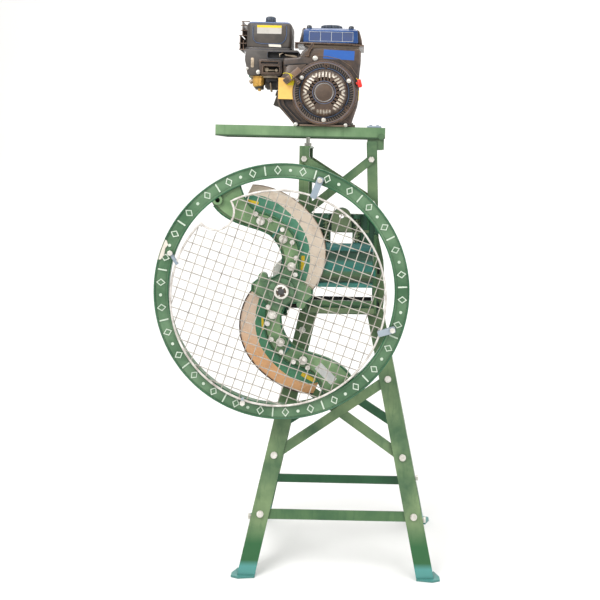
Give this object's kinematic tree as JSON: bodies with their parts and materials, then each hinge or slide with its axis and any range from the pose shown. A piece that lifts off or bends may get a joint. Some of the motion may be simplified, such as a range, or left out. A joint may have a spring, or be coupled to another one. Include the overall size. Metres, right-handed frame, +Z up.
{
  "type": "chaff cutter",
  "caption": "Powered chaff cutter: spoked flywheel with curved blades, fluted feed rollers in a cast head, splayed angle-iron stand and an engine on a tilting platform.",
  "frame": {"origin": "on the floor, at the centre of the four foot holes", "axes": "+Z up, +X to the right as seen from the flywheel side, -Y towards the flywheel side, where the cut fodder falls"},
  "size_m": [0.8389, 0.516, 1.642],
  "materials": {
    "black_matte_plastic": "black plastic",
    "teal_cast_iron": "cast iron with teal green paint",
    "zinc_brushed_steel": "zinc-plated steel",
    "oiled_aluminium": "cast alloy with a brass-toned bowl",
    "oiled_aluminium_2": "dark cast alloy",
    "oiled_brushed_steel": "oiled steel",
    "deep_green_painted_metal": "gloss green paint on rolled steel",
    "black_painted_metal": "black enamel",
    "deep_green_painted_metal_2": "gloss green paint over cast iron, edges worn",
    "blue_painted_metal": "gloss blue paint",
    "off_white_brushed_steel": "galvanised rod and wire, off-white",
    "light_green_painted_metal": "light green paint, bevel bare and tan",
    "black_cast_iron": "black cast iron, worn flutes",
    "black_painted_metal_2": "heat-proof black",
    "zinc_brushed_steel_2": "bright spring wire",
    "red_gloss_plastic": "red plastic"
  },
  "bodies": {
    "stand": {"head_casting": "teal_cast_iron", "mouth_plate": "teal_cast_iron", "ledger_blade": "oiled_brushed_steel", "top_bridge": "teal_cast_iron", "bearing_bracket": "teal_cast_iron", "bearing_caps": "teal_cast_iron", "pressure_springs": "zinc_brushed_steel_2", "front_left_leg": "deep_green_painted_metal", "front_right_leg": "deep_green_painted_metal", "rear_left_leg": "deep_green_painted_metal", "rear_right_leg": "deep_green_painted_metal", "front_bar": "deep_green_painted_metal", "rear_bar": "deep_green_painted_metal", "side_bars": "deep_green_painted_metal", "front_cross_braces": "deep_green_painted_metal", "rear_cross_braces": "deep_green_painted_metal", "stand_bolts": "zinc_brushed_steel", "left_posts": "deep_green_painted_metal", "right_posts": "deep_green_painted_metal", "post_straps": "deep_green_painted_metal", "tower_bolts": "zinc_brushed_steel", "platform_hinge": "oiled_brushed_steel", "tension_bracket": "deep_green_painted_metal"},
    "wheel": {"flywheel": "deep_green_painted_metal_2", "upper_blade": "light_green_painted_metal", "lower_blade": "light_green_painted_metal", "blade_bolts": "zinc_brushed_steel", "set_screws": "zinc_brushed_steel", "hub_nut": "zinc_brushed_steel", "guard_ring": "off_white_brushed_steel", "guard_mesh": "off_white_brushed_steel", "guard_clips": "zinc_brushed_steel", "main_shaft": "oiled_brushed_steel", "worm": "oiled_brushed_steel", "driven_pulley": "oiled_brushed_steel"},
    "jaw": {"upper_jaw": "teal_cast_iron", "jaw_rods": "oiled_brushed_steel"},
    "upper_feed": {"upper_roller": "black_cast_iron", "upper_worm_wheel": "oiled_brushed_steel"},
    "lower_feed": {"lower_roller": "black_cast_iron", "lower_worm_wheel": "oiled_brushed_steel"},
    "platform": {"engine_platform": "deep_green_painted_metal", "crankcase": "oiled_aluminium_2", "fan_housing": "black_painted_metal", "recoil_cover": "black_painted_metal", "cylinder_head": "oiled_aluminium_2", "air_cleaner": "black_matte_plastic", "carburettor": "oiled_aluminium", "fuel_tank": "blue_painted_metal", "muffler": "black_painted_metal_2", "engine_bolts": "zinc_brushed_steel"},
    "crank": {"crankshaft": "oiled_brushed_steel", "engine_pulley": "oiled_brushed_steel"},
    "starter": {"starter_handle": "black_matte_plastic"},
    "choke": {"choke_lever": "black_matte_plastic"},
    "throttle": {"throttle_lever": "black_matte_plastic"},
    "fuel_tap": {"fuel_lever": "black_matte_plastic"},
    "cap": {"fuel_cap": "black_matte_plastic"},
    "switch": {"stop_switch": "red_gloss_plastic"},
    "screw": {"tension_screw": "oiled_brushed_steel"}
  },
  "joints": [
    {"name": "wheel_spin", "type": "hinge", "parent": "stand", "child": "wheel", "pos_m": [-0.171, 0, 0.828], "axis": [0, 1, 0], "continuous": true},
    {"name": "lower_roller_spin", "type": "hinge", "parent": "stand", "child": "lower_feed", "pos_m": [0, -0.146, 0.775], "axis": [1, 0, 0], "continuous": true},
    {"name": "jaw_lift", "type": "slide", "parent": "stand", "child": "jaw", "axis": [0, 0, 1], "range_m": [0, 0.012], "stiffness_N_per_m": 5000, "springref_m": -0.004, "deforming": ["pressure_springs"]},
    {"name": "upper_roller_spin", "type": "hinge", "parent": "jaw", "child": "upper_feed", "pos_m": [0, -0.146, 0.881], "axis": [1, 0, 0], "continuous": true},
    {"name": "platform_tilt", "type": "hinge", "parent": "stand", "child": "platform", "pos_m": [0.108, 0, 1.279], "axis": [0, 1, 0], "range_deg": [0, 4]},
    {"name": "tension_lift", "type": "slide", "parent": "stand", "child": "screw", "axis": [0, 0, 1], "range_m": [0, 0.017]},
    {"name": "crank_spin", "type": "hinge", "parent": "platform", "child": "crank", "pos_m": [-0.065, 0, 1.406], "axis": [0, 1, 0], "continuous": true},
    {"name": "starter_pull", "type": "slide", "parent": "platform", "child": "starter", "axis": [-0.6293, 0, 0.7771], "range_m": [0, 0.06]},
    {"name": "choke_swing", "type": "hinge", "parent": "platform", "child": "choke", "pos_m": [-0.256, -0.084, 1.486], "axis": [0, 1, 0], "range_deg": [0, 40]},
    {"name": "throttle_swing", "type": "hinge", "parent": "platform", "child": "throttle", "pos_m": [-0.119, -0.13, 1.522], "axis": [0, 1, 0], "range_deg": [-30, 30]},
    {"name": "fuel_tap_turn", "type": "hinge", "parent": "platform", "child": "fuel_tap", "pos_m": [-0.24, -0.065, 1.446], "axis": [0, 1, 0], "range_deg": [0, 90]},
    {"name": "stop_switch_turn", "type": "hinge", "parent": "platform", "child": "switch", "pos_m": [0.033, -0.13, 1.4365], "axis": [0, 1, 0], "range_deg": [-60, 0]},
    {"name": "cap_lift", "type": "slide", "parent": "platform", "child": "cap", "axis": [0, 0, 1], "range_m": [0, 0.03]}
  ],
  "couplings": [
    {"joint": "lower_roller_spin", "follows": "wheel_spin", "ratio": 0.0625},
    {"joint": "upper_roller_spin", "follows": "wheel_spin", "ratio": -0.0625},
    {"joint": "tension_lift", "follows": "platform_tilt", "m_per_rad": 0.226}
  ]
}
